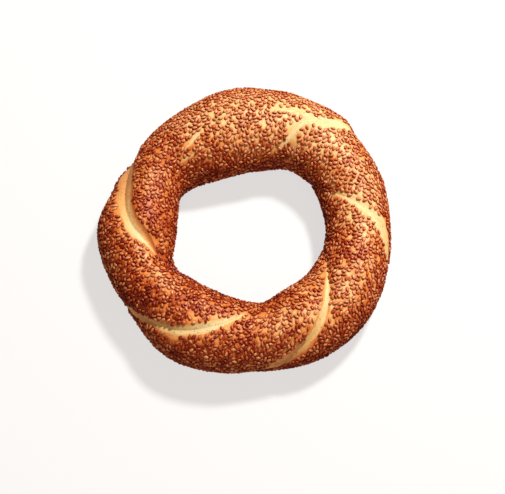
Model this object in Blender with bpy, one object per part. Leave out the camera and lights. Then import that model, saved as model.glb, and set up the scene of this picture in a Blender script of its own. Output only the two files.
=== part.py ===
"""Simit: a ring of bread, two strands of dough twisted round each other and baked together.

The ring lies flat on its baked underside, which is at z = 0, with its crown up. A place on it is given by two
angles. The ring angle runs anticlockwise round the whole ring, seen from above, from +X. The tube angle runs
round the bread's section: 0 points away from the ring's centre, 90 is the crown, 180 faces the hole and 270 is
the underside. The strands go round each other three times on their way round the ring, so six seams cross the
crown, and each seam passes under the bread to the outer end of the seam after the next one.
"""
import math

import bmesh
import bpy
import numpy as np

MM = 0.001

# The rope of dough, at stations spaced evenly in ring angle (mm). The ends are joined at 80 to 100 degrees,
# where the rope is fattest.
CENTRE_RADII = (59.5, 60.5, 62.5, 63.0, 58.5, 57.0, 55.5, 57.5, 56.5,
                57.5, 58.5, 57.5, 58.5, 58.0, 58.5, 59.0, 60.0, 59.5)
HALF_WIDTHS = (18.0, 18.5, 19.5, 21.5, 24.0, 24.5, 22.0, 18.5, 18.5,
               21.5, 18.5, 19.0, 21.5, 20.5, 19.0, 21.0, 20.5, 19.5)
MEAN_HALF_WIDTH = 20.0
HEIGHT_TO_WIDTH = 0.88      # the section is a little lower than it is wide
FLATTENING = 2.0            # how much of the round section the tray has pressed flat (mm)
ROPE_CENTRE = (0.8, -2.4)   # puts the middle of the uneven ring's box on the Z axis (mm)

# Lumps and, where the height is negative, dents: (ring angle, tube angle, height in mm, spread in mm).
LUMPS = (
    (21, 2, 0.7, 6), (38, 8, -1.0, 6), (49, 12, 1.5, 7), (64, 15, -1.0, 9), (90, 20, 0.6, 9), (110, 20, -0.7, 8), (108, 2, 0.6, 7), (157, 4, 1.3, 7),
    (99, 182, 0.6, 9), (137, 190, 0.9, 6), (151, 188, -1.4, 5), (161, 184, 1.3, 6),
    (196, 175, 0.9, 6), (208, 171, -2.6, 6), (220, 170, 0.9, 6),
)

# Each seam's ring angles at these tube angles, from the outer side over the crown to the inner side.
TOP_TUBE_ANGLES = (0, 30, 60, 90, 120, 150)
# Its crease depths (mm) are given at these.
DEPTH_TUBE_ANGLES = (0, 60, 120)
SEAMS = (
    {"place": "right", "ring_angles": (-18, -6, 3, 10, 17.5, 26.5), "depths": (1.2, 1.5, 1.2), "slopes": (4.5, 4.5)},
    {"place": "upper right", "ring_angles": (37, 46, 52, 63, 65, 70), "depths": (1.6, 0.5, 0.3), "slopes": (4.5, 4.5)},
    {"place": "upper left", "ring_angles": (88, 93, 98, 112, 136, 147), "depths": (0.3, 0.6, 1.8),
     "slopes": (4.5, 4.5)},
    {"place": "left", "ring_angles": (144, 157, 170, 184, 194, 210), "depths": (2.0, 4.2, 2.8),
     "slopes": (8.0, 7.0)},
    {"place": "lower left", "ring_angles": (213, 223, 240, 256, 270, 277), "depths": (1.8, 2.0, 1.5),
     "slopes": (4.5, 5.5)},
    {"place": "lower right", "ring_angles": (277, 289, 302, 314.5, 325.5, 338), "depths": (1.8, 2.2, 2.2),
     "slopes": (5.0, 4.5)},
)
SEAM_COUNT = len(SEAMS)
SEAMS_PER_TURN = 2          # after one turn round the section, a seam has become the seam after the next
KNOTS_PER_TURN = 12         # one knot of a seam's path every 30 degrees of tube angle
UNDERSIDE_CREASE = 1.2      # mm
SHOULDER_SHARE = 0.9        # the strands' own roundness: the wide dip beside a crease, as a share of its depth
SHOULDER_HALF_WIDTH = 11.0  # mm

# The facets.
LINES_PER_SEAM = 18
TUBE_STEPS = 44


def catmull_rom(before, start, end, after, t):
    """The smooth curve from start (t = 0) to end (t = 1), with the slopes that the outer neighbours give."""
    return 0.5 * (2 * start + (end - before) * t
                  + (2 * before - 5 * start + 4 * end - after) * t ** 2
                  + (3 * start - before - 3 * end + after) * t ** 3)


def at_station(values, ring):
    """A value given at the evenly spaced stations, at other ring angles (radians)."""
    values = np.asarray(values)
    place = ring / (2 * math.pi) * len(values)
    first = np.floor(place).astype(int)
    around = [values[(first + step) % len(values)] for step in (-1, 0, 1, 2)]
    return catmull_rom(*around, place - first)


def seam_knots():
    """Each seam's ring angles (degrees) and crease depths (mm) at the knots of one turn round the section."""
    angles = np.zeros((SEAM_COUNT, KNOTS_PER_TURN))
    depths = np.full((SEAM_COUNT, KNOTS_PER_TURN), UNDERSIDE_CREASE)
    top = len(TOP_TUBE_ANGLES)
    for row, seam in enumerate(SEAMS):
        lap, follower = divmod(row + SEAMS_PER_TURN, SEAM_COUNT)
        inner_end = seam["ring_angles"][-1]
        next_outer_end = SEAMS[follower]["ring_angles"][0] + 360 * lap
        angles[row, :top] = seam["ring_angles"]
        angles[row, top - 1:] = np.linspace(inner_end, next_outer_end, KNOTS_PER_TURN - top + 2)[:-1]
        depths[row, :top] = np.interp(TOP_TUBE_ANGLES, DEPTH_TUBE_ANGLES, seam["depths"])
    return angles, depths


KNOT_ANGLES, KNOT_DEPTHS = seam_knots()


def along_seam(knots, seam, tube, per_lap=0.0):
    """A knot table's value on the numbered seams at tube angles; one lap of the ring adds per_lap."""
    place = tube / (2 * math.pi) * KNOTS_PER_TURN
    first = np.floor(place).astype(int)
    around = []
    for step in (-1, 0, 1, 2):
        turn, knot = np.divmod(first + step, KNOTS_PER_TURN)
        lap, row = np.divmod(seam + SEAMS_PER_TURN * turn, SEAM_COUNT)
        around.append(knots[row, knot] + per_lap * lap)
    return catmull_rom(*around, place - first)


def seam_ring_angle(seam, tube):
    """Ring angle (radians) of the numbered seams at tube angles."""
    return np.radians(along_seam(KNOT_ANGLES, seam, tube, per_lap=360.0))


def ring_angle(place, tube):
    """Ring angle (radians) of a place counted in seams: a whole number lies on a seam, others between two."""
    seam = np.floor(place).astype(int)
    here = seam_ring_angle(seam, tube)
    there = seam_ring_angle(seam + 1, tube)
    return here + (place - seam) * (there - here)


def section(ring):
    """Centre-line radius, half-width and half-height (mm) of the rope."""
    half_width = at_station(HALF_WIDTHS, ring)
    half_height = HEIGHT_TO_WIDTH * (half_width + MEAN_HALF_WIDTH) / 2
    return at_station(CENTRE_RADII, ring), half_width, half_height


def slope_of_seam(seam, tube, side):
    """Width (mm) of the crease's side before (0) or after (1) the numbered seams at tube angles."""
    turn = np.floor(tube / (2 * math.pi)).astype(int)
    return np.asarray([one["slopes"][side] for one in SEAMS])[(seam + SEAMS_PER_TURN * turn) % SEAM_COUNT]


def crease_depth(place, ring, tube):
    """How far (mm) the seams on both sides press the surface in."""
    radius, half_width, _ = section(ring)
    reach = radius + half_width * np.cos(tube)
    small_turn = 0.05
    pressed = np.zeros(np.shape(ring))
    for seam in (np.floor(place).astype(int), np.floor(place).astype(int) + 1):
        line = seam_ring_angle(seam, tube)
        lean = (seam_ring_angle(seam, tube + small_turn) - line) / small_turn * reach / half_width
        distance = (ring - line) * reach / np.hypot(1.0, lean)
        slope = np.where(distance < 0.0, slope_of_seam(seam, tube, 0), slope_of_seam(seam, tube, 1))
        crease = np.clip(1.0 - np.abs(distance) / slope, 0.0, 1.0) ** 1.5
        shoulder = np.exp(-(distance / SHOULDER_HALF_WIDTH) ** 2)
        shape = (crease + SHOULDER_SHARE * shoulder) / (1.0 + SHOULDER_SHARE)
        pressed += along_seam(KNOT_DEPTHS, seam, tube) * shape
    return pressed


def wrapped(angle):
    """The same angle between -pi and pi."""
    return (angle + math.pi) % (2 * math.pi) - math.pi


def lump_height(ring, tube):
    """How far (mm) the lumps raise the surface."""
    radius, half_width, _ = section(ring)
    reach = radius + half_width * np.cos(tube)
    raised = np.zeros(np.shape(ring))
    for lump_ring, lump_tube, height, spread in LUMPS:
        along = wrapped(ring - math.radians(lump_ring)) * reach
        around = wrapped(tube - math.radians(lump_tube)) * half_width
        raised += height * np.exp(-(along ** 2 + around ** 2) / spread ** 2)
    return raised


def surface_point(place, tube):
    """Points of the surface (metres) at places counted in seams and at tube angles."""
    ring = ring_angle(place, tube)
    radius, half_width, half_height = section(ring)
    raised = lump_height(ring, tube) - crease_depth(place, ring, tube)
    out = radius + (half_width + raised) * np.cos(tube)
    x = ROPE_CENTRE[0] + out * np.cos(ring)
    y = ROPE_CENTRE[1] + out * np.sin(ring)
    z = half_height - FLATTENING + (half_height + raised) * np.sin(tube)
    return np.stack([x, y, np.maximum(z, 0.0)], axis=-1) * MM


def bread_mesh():
    """The closed skin of the bread: a loft whose lines follow the seams, so that each crease lies on a line."""
    line_count = SEAM_COUNT * LINES_PER_SEAM
    shift = SEAMS_PER_TURN * LINES_PER_SEAM
    place, tube = np.meshgrid(np.arange(line_count) / LINES_PER_SEAM,
                              2 * math.pi * np.arange(TUBE_STEPS) / TUBE_STEPS, indexing="ij")
    skin = bmesh.new()
    verts = [[skin.verts.new(point) for point in line] for line in surface_point(place, tube)]
    for i in range(line_count):
        for j in range(TUBE_STEPS):
            # A line that has gone once round the section carries on as the line two seams further on.
            turn, above = divmod(j + 1, TUBE_STEPS)
            here = i + shift * turn
            skin.faces.new((verts[i][j], verts[(i + 1) % line_count][j],
                            verts[(here + 1) % line_count][above], verts[here % line_count][above]))
    bmesh.ops.recalc_face_normals(skin, faces=skin.faces)
    bmesh.ops.triangulate(skin, faces=skin.faces, quad_method="SHORT_EDGE")
    mesh = bpy.data.meshes.new("bread")
    skin.to_mesh(mesh)
    skin.free()
    mesh.shade_smooth()
    return mesh


def crust_material():
    """Baked crust under toasted sesame."""
    material = bpy.data.materials.new("crust")
    material.use_nodes = True
    surface = material.node_tree.nodes["Principled BSDF"]
    surface.inputs["Base Color"].default_value = (0.45, 0.16, 0.05, 1.0)
    surface.inputs["Roughness"].default_value = 0.5
    surface.inputs["Metallic"].default_value = 0.0
    return material


def build():
    for old in list(bpy.data.objects):
        bpy.data.objects.remove(old)
    parts = bpy.data.collections.new("simit")
    bpy.context.scene.collection.children.link(parts)
    mesh = bread_mesh()
    mesh.materials.append(crust_material())
    parts.objects.link(bpy.data.objects.new("bread", mesh))


build()
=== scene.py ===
"""The looks of the simit: its crust, its bare seams and the sesame seeds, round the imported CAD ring.

Places on the bread are given as in the CAD: by ring angle (anticlockwise round the ring from +X, seen from
above) and tube angle (0 points away from the ring's centre, 90 is the crown, 180 faces the hole, 270 is the
underside). Lengths on the bread are in millimetres until they are written to a mesh, which is in metres, as
the camera, the lights, the floor and the backdrop are.
"""
import math

import bmesh
import bpy
import numpy as np
from mathutils import Matrix, Vector, noise


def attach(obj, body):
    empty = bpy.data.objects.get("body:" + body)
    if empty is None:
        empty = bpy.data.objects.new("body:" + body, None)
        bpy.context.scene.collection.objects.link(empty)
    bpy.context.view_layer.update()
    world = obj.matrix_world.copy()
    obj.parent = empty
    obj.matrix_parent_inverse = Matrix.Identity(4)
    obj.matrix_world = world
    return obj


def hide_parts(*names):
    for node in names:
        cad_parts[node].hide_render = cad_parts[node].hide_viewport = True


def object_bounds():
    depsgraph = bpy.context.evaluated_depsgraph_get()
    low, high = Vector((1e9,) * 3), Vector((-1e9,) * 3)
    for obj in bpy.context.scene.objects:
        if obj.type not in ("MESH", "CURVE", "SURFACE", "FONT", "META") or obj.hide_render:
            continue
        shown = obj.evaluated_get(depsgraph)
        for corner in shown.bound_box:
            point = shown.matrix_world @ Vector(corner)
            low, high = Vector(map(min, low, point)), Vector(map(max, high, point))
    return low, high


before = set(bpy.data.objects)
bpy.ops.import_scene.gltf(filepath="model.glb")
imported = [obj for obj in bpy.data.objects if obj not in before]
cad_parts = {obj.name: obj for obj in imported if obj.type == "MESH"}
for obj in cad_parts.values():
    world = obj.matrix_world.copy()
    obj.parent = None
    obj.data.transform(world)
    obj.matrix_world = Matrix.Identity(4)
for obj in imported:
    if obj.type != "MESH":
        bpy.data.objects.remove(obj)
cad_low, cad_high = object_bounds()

MM = 0.001
BODY = "root"
NODE = "bread"
TINY = 1e-9                 # keeps a division by a length of nothing from failing
RANDOM_SEED = 7

# -------------------------------------------------------- the rope of dough, as in the CAD (mm, degrees)

# The rope at evenly spaced stations round the ring, the first at ring angle 0.
CENTRE_RADII = (59.5, 60.5, 62.5, 63.0, 58.5, 57.0, 55.5, 57.5, 56.5,
                57.5, 58.5, 57.5, 58.5, 58.0, 58.5, 59.0, 60.0, 59.5)
HALF_WIDTHS = (18.0, 18.5, 19.5, 21.5, 24.0, 24.5, 22.0, 18.5, 18.5,
               21.5, 18.5, 19.0, 21.5, 20.5, 19.0, 21.0, 20.5, 19.5)
MEAN_RADIUS = 58.0
MEAN_HALF_WIDTH = 20.0
HEIGHT_TO_WIDTH = 0.88
FLATTENING = 2.0            # how far the round section would reach below the floor if it weren't flat there
ROPE_CENTRE = (0.8, -2.4)
# Lumps and hollows: ring and tube angle, height (negative in a hollow), and how far (mm) they spread.
LUMPS = (
    (21, 2, 0.7, 6), (38, 8, -1.0, 6), (49, 12, 1.5, 7), (64, 15, -1.0, 9),
    (90, 20, 0.6, 9), (110, 20, -0.7, 8), (108, 2, 0.6, 7), (157, 4, 1.3, 7),
    (99, 182, 0.6, 9), (137, 190, 0.9, 6), (151, 188, -1.4, 5), (161, 184, 1.3, 6),
    (196, 175, 0.9, 6), (208, 171, -2.6, 6), (220, 170, 0.9, 6),
)
TOP_TUBE_ANGLES = (0, 30, 60, 90, 120, 150)
DEPTH_TUBE_ANGLES = (0, 60, 120)
NO_BAND = -2.0              # what "before" and "after" are where no bare band shows, as on the underside
# At the top tube angles a seam's bare band reaches "before" mm towards smaller ring angles and "after" mm
# towards larger ones, and is "browned" from 0, cream, to 1. "slopes" are the widths of the crease's sides,
# before and after. "toasted" says how brown the band's two edges are, and how many mm that browning runs in.
SEAMS = (
    {   # right
        "ring_angles": (-18, -6, 3, 10, 17.5, 26.5),
        "depths": (1.2, 1.5, 1.2),
        "slopes": (4.5, 4.5),
        "before": (0.0, 4.0, 3.6, 2.6, 1.3, -0.5),
        "after": (3.0, 5.4, 2.6, 1.9, 0.8, -0.5),
        "browned": (0.3, 0.2, 0.0, 0.0, 0.1, 0.4),
        "toasted": ((0.2, 0.8), (0.3, 0.8)),
    },
    {   # upper right
        "ring_angles": (37, 46, 52, 63, 65, 70),
        "depths": (1.6, 0.5, 0.3),
        "slopes": (4.5, 4.5),
        "before": (0.0, 4.3, 3.9, 3.8, 2.6, -0.5),
        "after": (0.0, 2.3, 2.4, 0.3, 0.4, -0.5),
        "browned": (0.1, 0.05, 0.0, 0.0, 0.0, 0.3),
        "toasted": ((0.2, 0.7), (0.2, 0.7)),
    },
    {   # upper left: a shallow crease that seeds cover
        "ring_angles": (88, 93, 98, 112, 136, 147),
        "depths": (0.3, 0.6, 1.8),
        "slopes": (4.5, 4.5),
        "before": (NO_BAND,) * 6,
        "after": (NO_BAND,) * 6,
        "browned": (0.0,) * 6,
        "toasted": ((0.0, 1.0), (0.0, 1.0)),
    },
    {   # left
        "ring_angles": (144, 157, 170, 184, 194, 210),
        "depths": (2.0, 4.2, 2.8),
        "slopes": (8.0, 7.0),
        "before": (3.5, 8.6, 8.0, 6.2, 2.8, -0.5),
        "after": (5.2, 5.2, 4.0, 4.4, 2.0, -1.0),
        "browned": (0.5, 0.5, 0.42, 0.05, 0.0, 0.3),
        # The before side's wide browning is partly painted shade on the crease's shaded wall.
        "toasted": ((0.96, 6.5), (0.6, 1.4)),
    },
    {   # lower left
        "ring_angles": (213, 223, 240, 256, 270, 277),
        "depths": (1.8, 2.0, 1.5),
        "slopes": (4.5, 5.5),
        "before": (0.5, 1.0, 2.8, 3.8, 1.6, -2.0),
        "after": (4.0, 3.0, 3.2, 2.3, 0.4, -1.5),
        "browned": (0.45, 0.4, 0.15, 0.0, 0.0, 0.3),
        "toasted": ((0.55, 2.0), (0.6, 1.2)),
    },
    {   # lower right
        "ring_angles": (277, 289, 302, 314.5, 325.5, 338),
        "depths": (1.8, 2.2, 2.2),
        "slopes": (5.0, 4.5),
        "before": (0.5, 3.6, 3.2, 3.5, 2.6, 0.0),
        "after": (3.2, 2.5, 2.4, 1.3, 0.5, -0.5),
        "browned": (0.55, 0.5, 0.25, 0.05, 0.12, 0.4),
        "toasted": ((0.68, 2.3), (0.7, 1.3)),
    },
)
# Short bare streaks beside the seams: where they start and end (ring and tube angle), half their width (mm)
# at both ends, and how pale they are: 1 is as a seam's band, 0 only has no seeds.
STREAKS = (
    {"from": (60, 76), "to": (79, 79), "half_widths": (2.2, 0.8), "pale": 1.0},
    {"from": (61.5, 112), "to": (60.0, 127), "half_widths": (0.8, 1.5), "pale": 0.25},
    {"from": (128, 104), "to": (118.5, 93.5), "half_widths": (0.7, 1.0), "pale": 0.9},
    {"from": (134, 120), "to": (126, 118), "half_widths": (0.7, 0.9), "pale": 0.8},
    {"from": (108, 87), "to": (100.5, 80.5), "half_widths": (0.6, 0.9), "pale": 0.9},
    {"from": (236, 44), "to": (242, 50), "half_widths": (1.6, 1.2), "pale": 0.1},
    {"from": (297, 72), "to": (294, 60), "half_widths": (1.2, 1.0), "pale": 0.1},
)
SEAM_COUNT = len(SEAMS)
SEAMS_PER_TURN = 2          # a seam that goes once round the section goes on as the seam two places further
KNOTS_PER_TURN = 12
SLOPES = np.array([seam["slopes"] for seam in SEAMS])
TOASTED = np.array([seam["toasted"] for seam in SEAMS])
UNDERSIDE_CREASE = 1.2
UNDERSIDE_BROWNED = 0.5
CREASE_POWER = 1.5          # how softly a crease's two sides run out into the crust
SHOULDER_SHARE = 0.9        # how much of a seam's depth is its wide, round hollow, for each 1 of its crease
SHOULDER_HALF_WIDTH = 11.0
CRUST_INSET = 1.18          # the CAD ring is the outside of the seeds; the crust lies this far inside it
CRUST_UNDERSIDE = 0.5       # height of the crust's flat underside, which the seeds hold off the floor

# Fields of smooth noise: how far they run either side of 0, the size (mm) of their lumps, and their number.
CRUST_WAVES = (0.2, 9.0, 1)
CRUST_PIMPLES = (0.10, 3.5, 2)
EDGE_WAVES = (0.35, 5.0, 3)
EDGE_RIPPLES = (0.3, 1.8, 4)
TOAST_BLOTCHES = (0.16, 14.0, 5)
THIN_SPOTS = (1.0, 5.0, 6)
MARGIN_WAVES = (0.7, 3.0, 8)
TOAST_SPECKS = (0.14, 4.5, 9)
FIELD_STEPS = (17.3, 5.1, 9.7)      # how far apart in the noise two fields with following numbers are
NOISE_TO_ONE = 1.6                  # what Blender's noise is multiplied by to run from about -1 to 1


def catmull_rom(before, start, end, after, t):
    """The smooth curve from start (t = 0) to end (t = 1), with slopes that fit its outer neighbours."""
    return 0.5 * (2 * start + (end - before) * t
                  + (2 * before - 5 * start + 4 * end - after) * t ** 2
                  + (3 * start - before - 3 * end + after) * t ** 3)


def at_station(values, ring):
    """A value given at evenly spaced stations, at other ring angles (radians)."""
    values = np.asarray(values)
    place = ring / (2 * math.pi) * len(values)
    first = np.floor(place).astype(int)
    around = [values[(first + step) % len(values)] for step in (-1, 0, 1, 2)]
    return catmull_rom(*around, place - first)


def seam_knots():
    """Each seam's ring angles, crease depths, band edges and browning, at knots once round the section."""
    angles = np.zeros((SEAM_COUNT, KNOTS_PER_TURN))
    depths = np.full((SEAM_COUNT, KNOTS_PER_TURN), UNDERSIDE_CREASE)
    before = np.full((SEAM_COUNT, KNOTS_PER_TURN), NO_BAND)
    after = np.full((SEAM_COUNT, KNOTS_PER_TURN), NO_BAND)
    browned = np.full((SEAM_COUNT, KNOTS_PER_TURN), UNDERSIDE_BROWNED)
    top = len(TOP_TUBE_ANGLES)
    for row, seam in enumerate(SEAMS):
        lap, follower = divmod(row + SEAMS_PER_TURN, SEAM_COUNT)
        inner_end = seam["ring_angles"][-1]
        next_outer_end = SEAMS[follower]["ring_angles"][0] + 360 * lap
        angles[row, :top] = seam["ring_angles"]
        angles[row, top - 1:] = np.linspace(inner_end, next_outer_end, KNOTS_PER_TURN - top + 2)[:-1]
        depths[row, :top] = np.interp(TOP_TUBE_ANGLES, DEPTH_TUBE_ANGLES, seam["depths"])
        before[row, :top] = seam["before"]
        after[row, :top] = seam["after"]
        browned[row, :top] = seam["browned"]
    return angles, depths, before, after, browned


KNOT_ANGLES, KNOT_DEPTHS, KNOT_BEFORE, KNOT_AFTER, KNOT_BROWNED = seam_knots()


def along_seam(knots, seam, tube, per_lap=0.0):
    """A knot table's value on the numbered seams at tube angles; one lap of the ring adds per_lap."""
    place = tube / (2 * math.pi) * KNOTS_PER_TURN
    first = np.floor(place).astype(int)
    around = []
    for step in (-1, 0, 1, 2):
        turn, knot = np.divmod(first + step, KNOTS_PER_TURN)
        lap, row = np.divmod(seam + SEAMS_PER_TURN * turn, SEAM_COUNT)
        around.append(knots[row, knot] + per_lap * lap)
    return catmull_rom(*around, place - first)


def of_seam(values, seam, tube):
    """A value that each seam has once, on the numbered seams at tube angles."""
    turn = np.floor(tube / (2 * math.pi)).astype(int)
    return values[(seam + SEAMS_PER_TURN * turn) % SEAM_COUNT]


def seam_ring_angle(seam, tube):
    """Ring angle (radians) of the numbered seams at tube angles."""
    return np.radians(along_seam(KNOT_ANGLES, seam, tube, per_lap=360.0))


def ring_angle(place, tube):
    """Ring angle (radians) of a place counted in seams: whole numbers are seams, others lie between two."""
    seam = np.floor(place).astype(int)
    here = seam_ring_angle(seam, tube)
    there = seam_ring_angle(seam + 1, tube)
    return here + (place - seam) * (there - here)


def seam_place(ring, tube):
    """The inverse of ring_angle: the place counted in seams of points given by their two angles."""
    numbers = [np.full(np.shape(tube), seam) for seam in range(SEAM_COUNT + 1)]
    lines = np.stack([seam_ring_angle(number, tube) for number in numbers])
    ring = ring - 2 * math.pi * np.floor((ring - lines[0]) / (2 * math.pi))
    seam = np.clip((ring >= lines).sum(axis=0) - 1, 0, SEAM_COUNT - 1)
    here = np.take_along_axis(lines, seam[None], 0)[0]
    there = np.take_along_axis(lines, seam[None] + 1, 0)[0]
    return seam + (ring - here) / (there - here)


def wrapped(angle):
    """The same angle between -pi and pi."""
    return (angle + math.pi) % (2 * math.pi) - math.pi


def section(ring):
    """Centre-line radius, half-width and half-height (mm) of the rope."""
    half_width = at_station(HALF_WIDTHS, ring)
    half_height = HEIGHT_TO_WIDTH * (half_width + MEAN_HALF_WIDTH) / 2
    return at_station(CENTRE_RADII, ring), half_width, half_height


def turn_lengths(ring, tube):
    """How many mm along the surface one radian of ring angle and one of tube angle are."""
    radius, half_width, _ = section(ring)
    return radius + half_width * np.cos(tube), half_width


def seam_distances(place, ring, tube):
    """For the seam on each side: its number, and the signed distance (mm) across it to the points."""
    reach, half_width = turn_lengths(ring, tube)
    small_turn = 0.05
    found = []
    for seam in (np.floor(place).astype(int), np.floor(place).astype(int) + 1):
        line = seam_ring_angle(seam, tube)
        lean = (seam_ring_angle(seam, tube + small_turn) - line) / small_turn * reach / half_width
        found.append((seam, wrapped(ring - line) * reach / np.hypot(1.0, lean)))
    return found


def crease_depth(place, ring, tube):
    """How far (mm) the seams on both sides press the surface in."""
    pressed = np.zeros(np.shape(ring))
    for seam, distance in seam_distances(place, ring, tube):
        slope_before, slope_after = of_seam(SLOPES[:, 0], seam, tube), of_seam(SLOPES[:, 1], seam, tube)
        slope = np.where(distance < 0.0, slope_before, slope_after)
        crease = np.clip(1.0 - np.abs(distance) / slope, 0.0, 1.0) ** CREASE_POWER
        shoulder = np.exp(-(distance / SHOULDER_HALF_WIDTH) ** 2)
        shape = (crease + SHOULDER_SHARE * shoulder) / (1.0 + SHOULDER_SHARE)
        pressed += along_seam(KNOT_DEPTHS, seam, tube) * shape
    return pressed


def streak_inset(streak, ring, tube):
    """How far (mm) points lie inside a streak; negative outside it."""
    reach, half_width = turn_lengths(ring, tube)
    start_ring, start_tube = np.radians(streak["from"])
    end_ring, end_tube = np.radians(streak["to"])
    along_ring, along_tube = (end_ring - start_ring) * reach, (end_tube - start_tube) * half_width
    x, y = wrapped(ring - start_ring) * reach, wrapped(tube - start_tube) * half_width
    share = np.clip((x * along_ring + y * along_tube) / (along_ring ** 2 + along_tube ** 2), 0.0, 1.0)
    half = streak["half_widths"][0] + share * (streak["half_widths"][1] - streak["half_widths"][0])
    return half - np.hypot(x - share * along_ring, y - share * along_tube)


def nearest_band(place, ring, tube):
    """The nearest bare band's seam, how far (mm) points lie inside its two edges, and across its seam."""
    found = None
    for seam, distance in seam_distances(place, ring, tube):
        past_before = distance + along_seam(KNOT_BEFORE, seam, tube)
        past_after = along_seam(KNOT_AFTER, seam, tube) - distance
        band = (seam, past_before, past_after, distance)
        if found is None:
            found = band
            continue
        closer = np.minimum(past_before, past_after) > np.minimum(found[1], found[2])
        found = [np.where(closer, new, old) for new, old in zip(band, found)]
    return found


def spots_at(spots, ring, tube):
    """The sum of soft round spots, given by ring and tube angle, height, and how far (mm) they spread."""
    reach, half_width = turn_lengths(ring, tube)
    total = np.zeros(np.shape(ring))
    for spot_ring, spot_tube, height, width in spots:
        along = wrapped(ring - math.radians(spot_ring)) * reach
        around = wrapped(tube - math.radians(spot_tube)) * half_width
        total += height * np.exp(-(along ** 2 + around ** 2) / width ** 2)
    return total


def crust_point(place, tube, inset=CRUST_INSET):
    """Points (mm) of the crust at places counted in seams and at tube angles."""
    ring = ring_angle(place, tube)
    radius, half_width, half_height = section(ring)
    raised = spots_at(LUMPS, ring, tube) - crease_depth(place, ring, tube) - inset
    out = radius + (half_width + raised) * np.cos(tube)
    x = ROPE_CENTRE[0] + out * np.cos(ring)
    y = ROPE_CENTRE[1] + out * np.sin(ring)
    z = half_height - FLATTENING + (half_height + raised) * np.sin(tube)
    return np.stack([x, y, np.maximum(z, CRUST_UNDERSIDE)], axis=-1)


def field(points, amount, size, number):
    """Smooth noise from about -amount to amount at points (mm), with lumps of the given size."""
    offset = Vector([number * step for step in FIELD_STEPS])
    scaled = points.reshape(-1, 3) / size
    values = [noise.noise(Vector(point) + offset) for point in scaled.tolist()]
    return amount * (np.array(values).reshape(points.shape[:-1]) * NOISE_TO_ONE)


def smooth_step(value):
    """0 up to 0, 1 from 1 on, and a smooth rise between them."""
    value = np.clip(value, 0.0, 1.0)
    return value * value * (3.0 - 2.0 * value)


# -------------------------------------------------------- materials

def srgb(red, green, blue):
    """A colour given in screen values from 0 to 255, as Blender's linear RGBA."""
    shares = [value / 255 for value in (red, green, blue)]
    return (*[s / 12.92 if s <= 0.04045 else ((s + 0.055) / 1.055) ** 2.4 for s in shares], 1.0)


CREAM = srgb(245, 222, 168)
TAN = srgb(242, 198, 128)
BAKED_TAN = srgb(232, 160, 94)
LIGHT_BROWN = srgb(200, 114, 52)
SEAM_BROWN = srgb(150, 72, 28)
LINE_TAN = srgb(222, 204, 168)
SPECK_TAN = srgb(196, 160, 112)
PALE_CRUST = srgb(252, 212, 142)
GOLD = srgb(240, 164, 84)
AMBER = srgb(216, 114, 42)
RUSSET = srgb(176, 66, 14)
BROWN = srgb(112, 34, 5)
# Painted shade: the crust's crevices are multiplied by this dark red-brown.
CREVICE_SHADE = srgb(188, 60, 2)
# Painted shade: the seeds' lower edges and crevices are mixed towards this dark red-brown.
SEED_SHADE = srgb(136, 34, 2)
WHITE = srgb(255, 255, 255)

CRUST_COLOURS = ((0.0, PALE_CRUST), (0.3, GOLD), (0.55, AMBER), (0.8, RUSSET), (1.0, BROWN))
BAND_COLOURS = ((0.0, CREAM), (0.3, TAN), (0.55, BAKED_TAN), (0.8, LIGHT_BROWN), (1.0, SEAM_BROWN))
LINE_COLOURS = ((0.3, LINE_TAN), (0.55, WHITE))
SPECK_COLOURS = ((0.56, WHITE), (0.68, SPECK_TAN))
LINE_SHARE = 0.8
SPECK_SHARE = 0.6
# The materials' noise: lumps a metre, except for the fibres, which have their own space, and finer detail.
BLOTCHES = {"scale": 260.0, "detail": 4.0}
FIBRES = {"scale": 1.0, "detail": 4.0, "roughness": 0.6}
SPECKS = {"scale": 900.0, "detail": 2.0}
PORES = {"scale": 1500.0, "detail": 3.0}
SEED_MOTTLE = {"scale": 900.0, "detail": 2.0}
BLOTCH_CONTRAST = 0.5
FIBRE_CONTRAST = 0.3
MOTTLE_CONTRAST = 0.3
ROUGHNESS_SPREAD = 0.2
CRUST_ROUGHNESS = 0.48
BAND_EXTRA_ROUGHNESS = 0.25
SEED_ROUGHNESS = 0.31
CRUST_SPECULAR = 0.25
SEED_SPECULAR = 0.5
FIBRE_BUMP = 0.7
PORE_BUMP = 0.3
BUMP_STRENGTH = 0.35
BUMP_DEPTH = 0.4            # mm
# Painted shade in crevices, on the crust and on the seeds:
CREVICE_REACH = 1.2         # how near (mm) something has to be to close a place in
CREVICE_SAMPLES = 6
CRUST_CREVICE_GAIN = 2.1
SEED_CREVICE_GAIN = 1.9
SEED_EDGE_SHADE_SHARE = 0.7        # how strong the painted shade is along a seed's lower edge
MIX_COLOUR_INPUTS = (0, 6, 7)       # the Mix node's sockets for a factor and two colours
MIX_COLOUR_OUTPUT = 2


def add_node(tree, kind, inputs=None, **settings):
    """A new shader node, with its settings, and its inputs set or linked."""
    made = tree.nodes.new(kind)
    for name, value in settings.items():
        setattr(made, name, value)
    for name, value in (inputs or {}).items():
        connect(tree, value, made.inputs[name])
    return made


def connect(tree, value, socket):
    """Links a socket to another one, or sets it to a number or colour."""
    if isinstance(value, bpy.types.NodeSocket):
        tree.links.new(value, socket)
    else:
        socket.default_value = value


def attribute(tree, name, output="Fac"):
    """A value that the mesh carries at its points."""
    return add_node(tree, "ShaderNodeAttribute", attribute_name=name).outputs[output]


def object_position(tree):
    """The point's place on the bread, in metres."""
    return add_node(tree, "ShaderNodeTexCoord").outputs["Object"]


def ramp(tree, factor, stops):
    """A colour that runs through (position, colour) stops."""
    made = add_node(tree, "ShaderNodeValToRGB", {"Fac": factor})
    elements = made.color_ramp.elements
    while len(elements) < len(stops):
        elements.new(0.5)
    for element, (position, colour) in zip(elements, stops):
        element.position = position
        element.color = colour
    return made.outputs["Color"]


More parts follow.
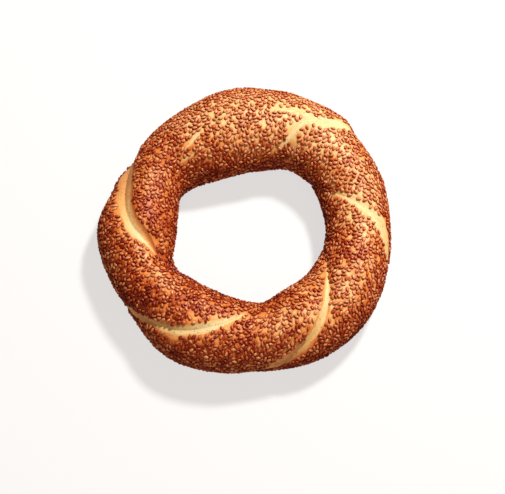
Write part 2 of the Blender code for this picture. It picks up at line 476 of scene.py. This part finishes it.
def mixed(tree, factor, first, second, blend="MIX"):
    """Two colours mixed."""
    made = add_node(tree, "ShaderNodeMix", data_type="RGBA", blend_type=blend)
    for number, value in zip(MIX_COLOUR_INPUTS, (factor, first, second)):
        connect(tree, value, made.inputs[number])
    return made.outputs[MIX_COLOUR_OUTPUT]


def maths(tree, operation, first, second, clamp=False):
    """Two numbers combined by a Math node."""
    made = add_node(tree, "ShaderNodeMath", operation=operation, use_clamp=clamp)
    connect(tree, first, made.inputs[0])
    connect(tree, second, made.inputs[1])
    return made.outputs[0]


def spread(tree, value, amount):
    """A noise value of about 0.5 turned into one that runs either side of 0."""
    return maths(tree, "MULTIPLY", maths(tree, "SUBTRACT", value, 0.5), amount)


def noise_value(tree, vector, scale, detail, roughness=0.55):
    """Procedural noise from 0 to 1."""
    made = add_node(tree, "ShaderNodeTexNoise",
                    {"Vector": vector, "Scale": scale, "Detail": detail, "Roughness": roughness})
    return made.outputs["Fac"]


def crevice(tree, gain):
    """How closed in a place is by what lies near it, from 0 in the open to 1; it darkens colours there as
    painted shade.
    """
    made = add_node(tree, "ShaderNodeAmbientOcclusion", {"Distance": CREVICE_REACH * MM},
                    samples=CREVICE_SAMPLES)
    closed = maths(tree, "SUBTRACT", 1.0, made.outputs["AO"])
    return maths(tree, "MULTIPLY", closed, gain, clamp=True)


def new_material(name):
    """A material with its node tree and its shader."""
    material = bpy.data.materials.new(name)
    material.use_nodes = True
    return material, material.node_tree, material.node_tree.nodes["Principled BSDF"]


def crust_colour(tree, blotches):
    """Golden to brown by the toast and its painted light, with painted shade darkening the crevices round
    the seeds.
    """
    toast_and_painted_light = maths(tree, "ADD", attribute(tree, "toast_and_painted_light"), spread(tree, blotches, BLOTCH_CONTRAST), clamp=True)
    crust = ramp(tree, toast_and_painted_light, CRUST_COLOURS)
    return mixed(tree, crevice(tree, CRUST_CREVICE_GAIN), crust, CREVICE_SHADE, "MULTIPLY")


def band_colour(tree, position, fibres):
    """Cream to brown, with lines along the seam and a few small specks."""
    browning = maths(tree, "ADD", attribute(tree, "rim"), spread(tree, fibres, FIBRE_CONTRAST), clamp=True)
    band = ramp(tree, browning, BAND_COLOURS)
    lined = mixed(tree, LINE_SHARE, band, ramp(tree, fibres, LINE_COLOURS), "MULTIPLY")
    specks = ramp(tree, noise_value(tree, position, **SPECKS), SPECK_COLOURS)
    return mixed(tree, SPECK_SHARE, lined, specks, "MULTIPLY")


def crust_material():
    """Glazed crust, with bare dough in the bands, which is matt and drawn out into fibres."""
    material, tree, surface = new_material("baked_crust")
    position = object_position(tree)
    bare = attribute(tree, "bare")
    blotches = noise_value(tree, position, **BLOTCHES)
    fibres = noise_value(tree, attribute(tree, "grain", "Vector"), **FIBRES)
    colour = mixed(tree, bare, crust_colour(tree, blotches), band_colour(tree, position, fibres))
    tree.links.new(colour, surface.inputs["Base Color"])

    extra = maths(tree, "MULTIPLY", bare, BAND_EXTRA_ROUGHNESS)
    varied = maths(tree, "ADD", extra, spread(tree, blotches, ROUGHNESS_SPREAD))
    tree.links.new(maths(tree, "ADD", varied, CRUST_ROUGHNESS), surface.inputs["Roughness"])
    pores = noise_value(tree, position, **PORES)
    height = maths(tree, "ADD", maths(tree, "MULTIPLY", fibres, FIBRE_BUMP),
                   maths(tree, "MULTIPLY", pores, PORE_BUMP))
    bump = add_node(tree, "ShaderNodeBump",
                    {"Height": height, "Strength": BUMP_STRENGTH, "Distance": BUMP_DEPTH * MM})
    tree.links.new(bump.outputs["Normal"], surface.inputs["Normal"])
    surface.inputs["Specular IOR Level"].default_value = CRUST_SPECULAR
    return material


def seed_material(name, pale, deep):
    """Glossy toasted sesame: each seed has its own tone, and painted shade darkens its lower edge and the
    crevices beside it.
    """
    material, tree, surface = new_material(name)
    mottle = noise_value(tree, object_position(tree), **SEED_MOTTLE)
    tone = maths(tree, "ADD", attribute(tree, "tone"), spread(tree, mottle, MOTTLE_CONTRAST), clamp=True)
    body = ramp(tree, tone, ((0.0, pale), (1.0, deep)))
    lower_edge = maths(tree, "MULTIPLY", attribute(tree, "rim"), SEED_EDGE_SHADE_SHARE)
    painted_shade = maths(tree, "MAXIMUM", lower_edge, crevice(tree, SEED_CREVICE_GAIN))
    tree.links.new(mixed(tree, painted_shade, body, SEED_SHADE), surface.inputs["Base Color"])
    roughness = maths(tree, "ADD", spread(tree, mottle, ROUGHNESS_SPREAD), SEED_ROUGHNESS)
    tree.links.new(roughness, surface.inputs["Roughness"])
    surface.inputs["Specular IOR Level"].default_value = SEED_SPECULAR
    return material


# -------------------------------------------------------- how brown the crust is, with painted light and shade

# Paler places: ring and tube angle, how much paler (negative is darker), and how far (mm) they spread. Many
# of them are painted light: the paler places on the upper right crown, where the light falls, and on the
# hole's side; the darker places, at the lower left, are painted shade.
PALE_PLACES = (
    (75, 85, 0.34, 22), (45, 70, 0.32, 17), (108, 84, 0.24, 18), (222, 80, -0.22, 22),
    (262, 80, -0.06, 18), (200, 98, 0.34, 6), (211, 106, 0.42, 7), (223, 107, 0.30, 8),
    (90, 140, 0.05, 28), (315, 140, 0.18, 24), (222, 10, -0.06, 30), (70, 55, 0.14, 16),
    (105, 32, 0.14, 20), (28, 80, 0.10, 14), (328, 88, 0.14, 14), (8, 85, 0.30, 14),
    (290, 95, 0.14, 14), (20, 40, 0.18, 16), (60, 40, 0.18, 16),
)
MEAN_TOAST = 0.63
CROWN_PAINTED_LIGHT = 0.30          # painted light: how much paler the crown is than the sides; it also browns the underside, partly as baking and partly as painted shade
OUTSIDE_PALER = 0.06        # how much paler the outer side is, and how much browner the hole's side


def toast_and_painted_light_at(points, ring, tube):
    """How brown the crust is, from 0 to 1, with painted light along parts of the crown and painted shade at
    the sides and below.
    """
    paleness = spots_at(PALE_PLACES, ring, tube)
    toast_and_painted_light = MEAN_TOAST - CROWN_PAINTED_LIGHT * np.sin(tube) - OUTSIDE_PALER * np.cos(tube) - paleness
    return np.clip(toast_and_painted_light + field(points, *TOAST_BLOTCHES) + field(points, *TOAST_SPECKS), 0.0, 1.0)


# -------------------------------------------------------- the sesame seeds' places (mm)

SEED_COUNT = 6300
SEED_LENGTH = 2.65
SEED_WIDTH = 1.5
SEED_THICKNESS = 1.05
SIZE_SPREAD = 0.09                              # how much a seed's three sizes vary, as a share of them
RING_CELLS = 360
TUBE_CELLS = 120
PLASTIC_RATIOS = (0.7548776662, 0.5698402910)   # steps of a sequence that fills a square evenly
SEED_JITTER = 0.5
DISC_OFFSETS = (-0.54, 0.0, 0.54)               # a seed keeps its distance as three discs along its length
DISC_RADIUS = 0.8
BOX_MARGIN = 0.02                               # how far every seed stays inside the CAD ring's box

THINNING = 0.4                                  # share of the seeds lost for each 1 that the crust is paler
MOST_PALENESS = 0.6                             # paler crust than this loses no more of them
ROOM_FOR_THINNING = 0.6                         # share of the thinning that widens the seeds' discs
UNDERSIDE_THINNING = 0.3
THIN_SPOT_LEVEL = 0.78                          # where the noise is above this, only a share of them stick
THIN_SPOT_SHARE = 0.65
BAND_CLEARANCE = 0.3                            # seeds aren't strewn nearer than this to a bare band

SETTLING_ROUNDS = 20
PUSH_SHARE = 0.3                                # how much of an overlap one round takes away
MOST_MOVE = 0.6                                 # how far a seed moves in one round at most
TWIST_SHARE = 0.5
MOST_TWIST = 0.3                                # how far (radians) it turns in one round at most
BAND_PUSH_SHARE = 0.6
BAND_MARGIN = 0.15
NARROWEST_BAND = 0.8                            # narrower bands don't push seeds away
DEEPEST_IN_BAND = 0.8                           # seeds that stay further inside a band are left out

SEED_SEATING = 0.38                             # height of a seed's middle above the crust
SEATING_SPREAD = 0.06
TILT_SPREADS = (0.12, 0.16)                     # how much seeds tilt along and across their length (radians)
LOOSE_SHARE = 0.1                               # share of the seeds that stick less flat, and how much less
LOOSE_TILT = 2.2
LOOSE_LIFT = 0.12


def unit(vectors):
    """The same vectors with a length of 1."""
    return vectors / np.linalg.norm(vectors, axis=-1, keepdims=True)


def frame_at(ring, tube):
    """Points (mm) of the crust, with unit vectors along the ring, round the section and outwards."""
    small_turn = 0.012
    here = crust_point(seam_place(ring, tube), tube)
    along = crust_point(seam_place(ring + small_turn, tube), tube) - here
    around = crust_point(seam_place(ring, tube + small_turn), tube + small_turn) - here
    normal = unit(np.cross(along, around))
    along = unit(along)
    return here, along, np.cross(normal, along), normal


def bare_inset(ring, tube):
    """How far (mm) points lie inside the nearest bare band or streak; negative outside them."""
    _, past_before, past_after, _ = nearest_band(seam_place(ring, tube), ring, tube)
    insets = [np.minimum(past_before, past_after)]
    insets += [streak_inset(streak, ring, tube) for streak in STREAKS]
    return np.max(insets, axis=0)


def thinning_at(ring, tube):
    """The share of the seeds that pale crust lacks."""
    return THINNING * np.clip(spots_at(PALE_PLACES, ring, tube), 0.0, MOST_PALENESS)


def seed_density(ring, tube):
    """How many seeds stick at a place, as a share of the most that do anywhere."""
    points = crust_point(seam_place(ring, tube), tube)
    density = 1.0 - UNDERSIDE_THINNING * np.clip(-np.sin(tube), 0.0, 1.0)
    density *= np.where(field(points, *THIN_SPOTS) > THIN_SPOT_LEVEL, THIN_SPOT_SHARE, 1.0)
    density *= 1.0 - thinning_at(ring, tube)
    return np.where(bare_inset(ring, tube) > -BAND_CLEARANCE, 0.0, density)


def cell_edges(count):
    """Angles of the edges of equal cells, once round."""
    return np.linspace(0.0, 2 * math.pi, count + 1)


def cell_middles(count):
    """Angles of the middles of equal cells, once round."""
    return cell_edges(count)[:-1] + math.pi / count


def density_sums():
    """How many seeds belong before each edge of a grid's cells, along the ring and round each row."""
    ring, tube = np.meshgrid(cell_middles(RING_CELLS), cell_middles(TUBE_CELLS), indexing="ij")
    reach, half_width = turn_lengths(ring, tube)
    weight = reach * half_width * seed_density(ring, tube)
    up_to_ring = np.concatenate([[0.0], np.cumsum(weight.sum(axis=1))])
    up_to_tube = np.concatenate([np.zeros((RING_CELLS, 1)), np.cumsum(weight, axis=1)], axis=1)
    return up_to_ring, up_to_tube


def evenly_scattered(rng):
    """Ring and tube angles of seeds spread evenly over the crust: an even sequence bent to the density."""
    up_to_ring, up_to_tube = density_sums()
    number = np.arange(SEED_COUNT) + 0.5
    across, down = [(0.5 + number * ratio) % 1.0 for ratio in PLASTIC_RATIOS]
    ring = np.interp(across * up_to_ring[-1], up_to_ring, cell_edges(RING_CELLS))
    rows = up_to_tube[np.minimum((ring / (2 * math.pi) * RING_CELLS).astype(int), RING_CELLS - 1)]
    wanted = down[:, None] * rows[:, -1:]
    cell = np.clip((rows <= wanted).sum(axis=1) - 1, 0, TUBE_CELLS - 1)
    low = np.take_along_axis(rows, cell[:, None], 1)[:, 0]
    high = np.take_along_axis(rows, cell[:, None] + 1, 1)[:, 0]
    share = (wanted[:, 0] - low) / np.maximum(high - low, TINY)
    tube = (cell + share) * 2 * math.pi / TUBE_CELLS
    jitter = rng.normal(0.0, SEED_JITTER, (2, SEED_COUNT))
    return ring + jitter[0] / MEAN_RADIUS, tube + jitter[1] / MEAN_HALF_WIDTH


def close_pairs(points, reach):
    """Index pairs of points nearer than reach, found by sorting the points into cubes of that size."""
    cubes = np.floor((points - points.min(axis=0)) / reach).astype(np.int64) + 1
    strides = np.array([1000000, 1000, 1])      # one key for each cube, as there are under 1000 each way
    keys = cubes @ strides
    order = np.argsort(keys, kind="stable")
    ordered = keys[order]
    near = (-1, 0, 1)
    steps = [(a, b, c) for a in near for b in near for c in near if (a, b, c) >= (0, 0, 0)]
    firsts, seconds = [], []
    for step in steps:
        wanted = keys + np.dot(step, strides)
        start = np.searchsorted(ordered, wanted, "left")
        count = np.searchsorted(ordered, wanted, "right") - start
        first = np.repeat(np.arange(len(points)), count)
        run = np.arange(count.sum()) - np.repeat(np.cumsum(count) - count, count)
        second = order[np.repeat(start, count) + run]
        keep = first < second if step == (0, 0, 0) else np.ones(len(first), bool)
        firsts.append(first[keep])
        seconds.append(second[keep])
    first, second = np.concatenate(firsts), np.concatenate(seconds)
    close = np.linalg.norm(points[first] - points[second], axis=-1) < reach
    return first[close], second[close]


def band_push(ring, tube, margin):
    """How far (mm) along the ring seeds have to move to clear the bare bands by a margin."""
    _, past_before, past_after, _ = nearest_band(seam_place(ring, tube), ring, tube)
    width = past_before + past_after
    inside = np.minimum(past_before, past_after) + margin
    push = np.where(past_after < past_before, 1.0, -1.0) * inside
    return np.where((inside > 0.0) & (width > NARROWEST_BAND), push, 0.0)


def turned(along, around, turn):
    """Unit vectors along and across seeds that are turned flat on the crust."""
    cosine, sine = np.cos(turn)[:, None], np.sin(turn)[:, None]
    return along * cosine + around * sine, around * cosine - along * sine


def pushed_apart(here, axis, side, room):
    """How the seeds' discs push each other: each seed's move (mm) and its twist."""
    offsets = np.array(DISC_OFFSETS)
    first, second = close_pairs(here, 2 * (room.max() + DISC_OFFSETS[-1]))
    discs = here[:, None] + axis[:, None] * offsets[None, :, None]
    gap = discs[first][:, :, None] - discs[second][:, None]
    length = np.maximum(np.linalg.norm(gap, axis=-1), TINY)
    wanted = (room[first] + room[second])[:, None, None]
    force = gap * (np.maximum(wanted - length, 0.0) / length * PUSH_SHARE)[..., None]
    move = np.zeros_like(here)
    twist = np.zeros(len(here))
    for who, sign, pushes in ((first, 1.0, force.sum(axis=2)), (second, -1.0, force.sum(axis=1))):
        np.add.at(move, who, sign * pushes.sum(axis=1))
        np.add.at(twist, who, sign * ((pushes * side[who][:, None]).sum(axis=-1) * offsets).sum(axis=1))
    return move, twist


def settle(ring, tube, turn):
    """Moves and turns the seeds until they hardly overlap and lie clear of the bare bands."""
    room = DISC_RADIUS * (1.0 + ROOM_FOR_THINNING * thinning_at(ring, tube))
    margin = BAND_MARGIN + field(frame_at(ring, tube)[0], *MARGIN_WAVES)
    for _ in range(SETTLING_ROUNDS):
        here, along, around, _ = frame_at(ring, tube)
        move, twist = pushed_apart(here, *turned(along, around, turn), room)
        reach, half_width = turn_lengths(ring, tube)
        ring = ring + np.clip((move * along).sum(axis=-1), -MOST_MOVE, MOST_MOVE) / reach
        tube = tube + np.clip((move * around).sum(axis=-1), -MOST_MOVE, MOST_MOVE) / half_width
        turn = turn + np.clip(twist * TWIST_SHARE, -MOST_TWIST, MOST_TWIST)
        ring = ring + BAND_PUSH_SHARE * band_push(ring, tube, margin) / reach
    return ring, tube, turn


def placed_seeds(rng):
    """Each seed's middle (mm), its axes of length, width and thickness, its size, and the toast and painted
    light of the crust under it.
    """
    ring, tube = evenly_scattered(rng)
    turn = rng.uniform(0, 2 * math.pi, SEED_COUNT)
    ring, tube, turn = settle(ring, tube, turn)
    kept = bare_inset(ring, tube) < DEEPEST_IN_BAND
    ring, tube, turn = ring[kept], tube[kept], turn[kept]
    count = len(ring)
    here, along, around, normal = frame_at(ring, tube)
    loose = rng.uniform(0, 1, count) < LOOSE_SHARE
    looser = np.where(loose, LOOSE_TILT, 1.0)
    tilts = [rng.normal(0.0, amount, count) * looser for amount in TILT_SPREADS]
    axis = unit(turned(along, around, turn)[0] + normal * tilts[0][:, None])
    side = unit(np.cross(normal, axis)) + normal * tilts[1][:, None]
    side = unit(side - axis * (side * axis).sum(axis=-1, keepdims=True))
    axes = np.stack([axis, side, np.cross(axis, side)], axis=-1)
    sizes = np.array([SEED_LENGTH, SEED_WIDTH, SEED_THICKNESS]) * rng.normal(1.0, SIZE_SPREAD, (count, 3))
    seating = SEED_SEATING + np.where(loose, LOOSE_LIFT, 0.0) + rng.normal(0.0, SEATING_SPREAD, count)
    return {"centres": here + normal * seating[:, None], "axes": axes, "sizes": sizes,
            "toast_and_painted_light": toast_and_painted_light_at(here, ring, tube), "count": count}


# -------------------------------------------------------- the bread

LINES_PER_SEAM = 120
TUBE_STEPS = 134
HIGHEST_LUMP = 0.2          # lumps of the noise are cut off here (mm)
BAND_SOFTNESS = 0.9         # how many mm a band's edge takes to go from seeded crust to bare dough
STREAK_SOFTNESS = 1.2
STREAK_WAVES = 0.6          # how much a streak's edge waves, as a share of a band's
STREAK_BROWNED = 0.25       # how brown a streak's edge is, and how many mm that runs in
STREAK_RIM = 1.0
GRAIN_SCALES = (1.5, 2.0, 4.0)      # the fibres' scale for each mm across, radian round and seam along


def bands_at(place, ring, tube, wobble):
    """How bare of seeds the crust is, and how browned a band's edge is, both from 0 to 1."""
    seam, past_before, past_after, _ = nearest_band(place, ring, tube)
    bare = smooth_step((np.minimum(past_before, past_after) + wobble) / BAND_SOFTNESS + 0.5)
    rim = np.clip(along_seam(KNOT_BROWNED, seam, tube), 0.0, 1.0)
    for side, past in enumerate((past_before, past_after)):
        strength = of_seam(TOASTED[:, side, 0], seam, tube)
        width = of_seam(TOASTED[:, side, 1], seam, tube)
        rim = np.maximum(rim, strength * (1.0 - smooth_step((past + wobble) / width)))
    for streak in STREAKS:
        inside = streak_inset(streak, ring, tube) + STREAK_WAVES * wobble
        cover = streak["pale"] * smooth_step(inside / STREAK_SOFTNESS + 0.5)
        rim = np.where(cover > bare, STREAK_BROWNED * (1.0 - smooth_step(inside / STREAK_RIM)), rim)
        bare = np.maximum(bare, cover)
    return bare, rim


def crust_faces(line_count):
    """Quads between neighbouring lines; where a line has gone once round, the line two seams on follows."""
    line, step = np.meshgrid(np.arange(line_count), np.arange(TUBE_STEPS), indexing="ij")
    turn, above = np.divmod(step + 1, TUBE_STEPS)
    here = line + SEAMS_PER_TURN * LINES_PER_SEAM * turn
    return np.stack([line * TUBE_STEPS + step,
                     ((line + 1) % line_count) * TUBE_STEPS + step,
                     ((here + 1) % line_count) * TUBE_STEPS + above,
                     (here % line_count) * TUBE_STEPS + above], axis=-1).reshape(-1, 4)


def add_attribute(mesh, name, values, kind="FLOAT", entry="value"):
    """Values at a mesh's points, which its material reads by name."""
    made = mesh.attributes.new(name, kind, "POINT")
    made.data.foreach_set(entry, np.asarray(values, np.float32).ravel())


def crust_mesh():
    """The crust as a grid of lines that run with the seams, with what its material needs at each point."""
    line_count = SEAM_COUNT * LINES_PER_SEAM
    place, tube = np.meshgrid(np.arange(line_count) / LINES_PER_SEAM,
                              2 * math.pi * np.arange(TUBE_STEPS) / TUBE_STEPS, indexing="ij")
    ring = ring_angle(place, tube)
    smooth = crust_point(place, tube)
    lumps = field(smooth, *CRUST_WAVES) + field(smooth, *CRUST_PIMPLES)
    wobble = field(smooth, *EDGE_WAVES) + field(smooth, *EDGE_RIPPLES)
    points = crust_point(place, tube, CRUST_INSET - np.minimum(lumps, HIGHEST_LUMP))
    bare, rim = bands_at(place, ring, tube, wobble)
    _, _, _, distance = nearest_band(place, ring, tube)
    grain = np.stack([distance, tube, place], axis=-1) * GRAIN_SCALES
    mesh = bpy.data.meshes.new("bread_crust")
    mesh.from_pydata((points.reshape(-1, 3) * MM).tolist(), [], crust_faces(line_count).tolist())
    add_attribute(mesh, "bare", bare)
    add_attribute(mesh, "rim", rim)
    add_attribute(mesh, "toast_and_painted_light", toast_and_painted_light_at(smooth, ring, tube))
    add_attribute(mesh, "grain", grain, "FLOAT_VECTOR", "vector")
    mesh.shade_smooth()
    return mesh


def new_piece(name, mesh, material):
    """A mesh as an object of the scene, which rides on the part's one body."""
    mesh.materials.append(material)
    piece = bpy.data.objects.new(name, mesh)
    bpy.context.scene.collection.objects.link(piece)
    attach(piece, BODY)
    return piece


def make_bread():
    """The crust, in place of the CAD ring."""
    piece = new_piece("bread_crust", crust_mesh(), crust_material())
    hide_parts(NODE)


# -------------------------------------------------------- the sesame seeds

# Each kind is a quarter of the seeds: the palest lie mostly on pale crust, the darkest on browner crust, so
# they follow its painted light and shade.
SEED_KINDS = (
    {"name": "sesame_pale", "slim": 1.0, "taper": 0.55,
     "pale": srgb(234, 160, 105), "deep": srgb(206, 108, 50)},
    {"name": "sesame_amber", "slim": 0.94, "taper": 0.65,
     "pale": srgb(204, 106, 48), "deep": srgb(178, 74, 22)},
    {"name": "sesame_russet", "slim": 1.04, "taper": 0.6,
     "pale": srgb(176, 70, 20), "deep": srgb(144, 44, 8)},
    {"name": "sesame_dark", "slim": 0.9, "taper": 0.7,
     "pale": srgb(140, 44, 10), "deep": srgb(92, 22, 2)},
)
OWN_BROWNING = 0.8          # how much a seed's browning is its own, and how much it is the crust's under it, painted light and shade included
CRUST_BROWNING = 0.85
# A seed of unit size, pointed along +X. Its width and thickness narrow from the taper's start to the point.
SEED_SEGMENTS = 10
SEED_RINGS = 7
TAPER_START = 0.35
TAPER_POWER = 1.3
THICKNESS_TAPER = 0.5
WIDENED = 1.12              # makes up for the width and thickness that the facets and the taper take away
THICKENED = 1.08
SHADED_BELOW = 0.24         # painted shade starts below this height, and is full this much lower
EDGE_SHADE_DEPTH = 0.4


def seed_template(slim, taper):
    """One sesame seed of unit length, width and thickness: a flat drop with a pointed end."""
    shape = bmesh.new()
    bmesh.ops.create_uvsphere(shape, u_segments=SEED_SEGMENTS, v_segments=SEED_RINGS, radius=0.5,
                              matrix=Matrix.Rotation(math.pi / 2, 4, "Y"))
    bmesh.ops.triangulate(shape, faces=shape.faces)
    points = np.array([vert.co for vert in shape.verts])
    faces = np.array([[vert.index for vert in face.verts] for face in shape.faces])
    faces = faces[np.lexsort(faces.T)]      # Blender lists a sphere's faces in another order each run
    shape.free()
    # painted shade on the seed's lower part, next to the crust
    rim = smooth_step((SHADED_BELOW - points[:, 2]) / EDGE_SHADE_DEPTH)
    end = np.clip(points[:, 0] + 0.5, 0.0, 1.0)
    narrowing = np.clip(end - TAPER_START, 0.0, 1.0)
    points[:, 1] *= slim * (1.0 - taper * narrowing ** TAPER_POWER) * WIDENED
    points[:, 2] *= (1.0 - THICKNESS_TAPER * taper * narrowing) * THICKENED
    return points, faces, rim


def placed_points(points, chosen, seeds):
    """A template's points (mm) at each of the chosen seeds, kept inside the CAD ring's box."""
    sized = points[None] * seeds["sizes"][chosen][:, None]
    placed = seeds["centres"][chosen][:, None] + np.einsum("nij,nvj->nvi", seeds["axes"][chosen], sized)
    placed += np.maximum(np.array(cad_low) / MM + BOX_MARGIN - placed.min(axis=1), 0.0)[:, None]
    placed -= np.maximum(placed.max(axis=1) - np.array(cad_high) / MM + BOX_MARGIN, 0.0)[:, None]
    return placed


def seed_mesh(kind, chosen, seeds, tones):
    """All seeds of one kind as one mesh."""
    points, faces, rim = seed_template(kind["slim"], kind["taper"])
    count, corners = int(chosen.sum()), len(points)
    placed = placed_points(points, chosen, seeds)
    triangles = (faces[None] + corners * np.arange(count)[:, None, None]).reshape(-1, 3)
    mesh = bpy.data.meshes.new(kind["name"])
    mesh.vertices.add(count * corners)
    mesh.vertices.foreach_set("co", (placed.reshape(-1) * MM).astype(np.float32))
    mesh.loops.add(triangles.size)
    mesh.loops.foreach_set("vertex_index", triangles.ravel().astype(np.int32))
    mesh.polygons.add(len(triangles))
    mesh.polygons.foreach_set("loop_start", np.arange(0, triangles.size, 3, dtype=np.int32))
    mesh.update(calc_edges=True)
    add_attribute(mesh, "tone", np.repeat(tones[chosen], corners))
    add_attribute(mesh, "rim", np.tile(rim, count))
    mesh.shade_smooth()
    return mesh


def make_seeds(seeds, rng):
    """The seeds as one piece for each kind, ranked by how brown they are; a kind's tones run from 0 to 1."""
    browning = rng.uniform(0.0, OWN_BROWNING, seeds["count"]) + CRUST_BROWNING * seeds["toast_and_painted_light"]
    rank = np.argsort(np.argsort(browning)) / seeds["count"] * len(SEED_KINDS)
    kinds = rank.astype(int)
    for number, kind in enumerate(SEED_KINDS):
        mesh = seed_mesh(kind, kinds == number, seeds, rank - kinds)
        new_piece(kind["name"], mesh, seed_material(kind["name"], kind["pale"], kind["deep"]))


# -------------------------------------------------------- camera, light, floor and backdrop (metres)

CAMERA_ELEVATION = math.radians(70.0)
CAMERA_DISTANCE = 0.6327
CAMERA_LENS = 85.0
CAMERA_CLIP_START = 0.05
AIM_HEIGHT = 0.015
FRAME_RIGHT = 0.0035        # the ring lies a little left of the picture's middle, and above it
FRAME_DOWN = 0.0082
LIGHTS = (
    {"name": "key", "direction": (0.34, 0.46, 0.82), "distance": 1.1, "size": 0.14,
     "energy": 15.4, "colour": (1.0, 0.98, 0.94)},
    {"name": "fill", "direction": (0.1, -0.6, 0.79), "distance": 1.3, "size": 1.0,
     "energy": 2.6, "colour": (1.0, 0.86, 0.7)},
)
WARM_SURROUNDINGS = (1.0, 0.55, 0.3, 1.0)
SURROUNDINGS_STRENGTH = 0.12
STAGE_GREY = (0.3, 0.3, 0.3, 1.0)
STAGE_GLOW = 0.66           # the floor and the backdrop give off most of their brightness themselves
FLOOR_RADIUS = 4.0
FLOOR_ROUGHNESS = 0.9
FLOOR_SPECULAR = 0.1
BACKDROP_RADIUS = 3.9
BACKDROP_DEPTH = 6.0


def make_camera():
    """The photograph's view, from the front and high up."""
    camera = bpy.data.cameras.new("camera")
    camera.lens = CAMERA_LENS
    camera.clip_start = CAMERA_CLIP_START
    back = Vector((0.0, -math.cos(CAMERA_ELEVATION), math.sin(CAMERA_ELEVATION)))
    up = Vector((0.0, math.sin(CAMERA_ELEVATION), math.cos(CAMERA_ELEVATION)))
    aim = Vector((ROPE_CENTRE[0] * MM, ROPE_CENTRE[1] * MM, AIM_HEIGHT))
    holder = bpy.data.objects.new("camera", camera)
    holder.location = aim + back * CAMERA_DISTANCE + Vector((FRAME_RIGHT, 0.0, 0.0)) - up * FRAME_DOWN
    holder.rotation_euler = (math.pi / 2 - CAMERA_ELEVATION, 0.0, 0.0)
    bpy.context.scene.collection.objects.link(holder)
    bpy.context.scene.camera = holder


def add_area_light(name, direction, distance, size, energy, colour):
    """A square soft light that shines on the ring from a direction."""
    light = bpy.data.lights.new(name, "AREA")
    light.size = size
    light.energy = energy
    light.color = colour
    holder = bpy.data.objects.new(name, light)
    holder.location = Vector(direction).normalized() * distance
    holder.rotation_euler = (-holder.location).to_track_quat("-Z", "Y").to_euler()
    bpy.context.scene.collection.objects.link(holder)


def make_light():
    """A key light behind and to the right, a wide fill from the front, and faint warm surroundings."""
    for light in LIGHTS:
        add_area_light(**light)
    world = bpy.data.worlds.new("studio")
    world.use_nodes = True
    world.node_tree.nodes["Background"].inputs["Color"].default_value = WARM_SURROUNDINGS
    world.node_tree.nodes["Background"].inputs["Strength"].default_value = SURROUNDINGS_STRENGTH
    bpy.context.scene.world = world
    bpy.context.scene.view_settings.view_transform = "Standard"


def stage_surface(thing, name):
    """Gives a stage object its pale, glowing material, and hands back the material's shader."""
    material, _, surface = new_material(name)
    surface.inputs["Base Color"].default_value = STAGE_GREY
    surface.inputs["Emission Color"].default_value = WHITE
    surface.inputs["Emission Strength"].default_value = STAGE_GLOW
    thing.data.materials.append(material)
    return surface


def make_floor():
    """A plain pale floor."""
    bpy.ops.mesh.primitive_circle_add(vertices=64, radius=FLOOR_RADIUS, fill_type="NGON")
    floor = bpy.context.object
    floor.name = "floor"
    floor.visible_glossy = False    # so that the white floor doesn't grey the crust's sides
    surface = stage_surface(floor, "pale_floor")
    surface.inputs["Roughness"].default_value = FLOOR_ROUGHNESS
    surface.inputs["Specular IOR Level"].default_value = FLOOR_SPECULAR


def make_backdrop():
    """A pale wall round the floor, for low views; it sheds no light on the bread."""
    bpy.ops.mesh.primitive_cylinder_add(vertices=96, radius=BACKDROP_RADIUS, depth=BACKDROP_DEPTH,
                                        end_fill_type="NOTHING")
    wall = bpy.context.object
    wall.name = "backdrop"
    wall.visible_diffuse = False
    wall.visible_glossy = False
    wall.visible_shadow = False
    stage_surface(wall, "pale_wall")


make_camera()
make_light()
make_floor()
make_backdrop()
draws = np.random.default_rng(RANDOM_SEED)
seeds = placed_seeds(draws)
make_bread()
make_seeds(seeds, draws)
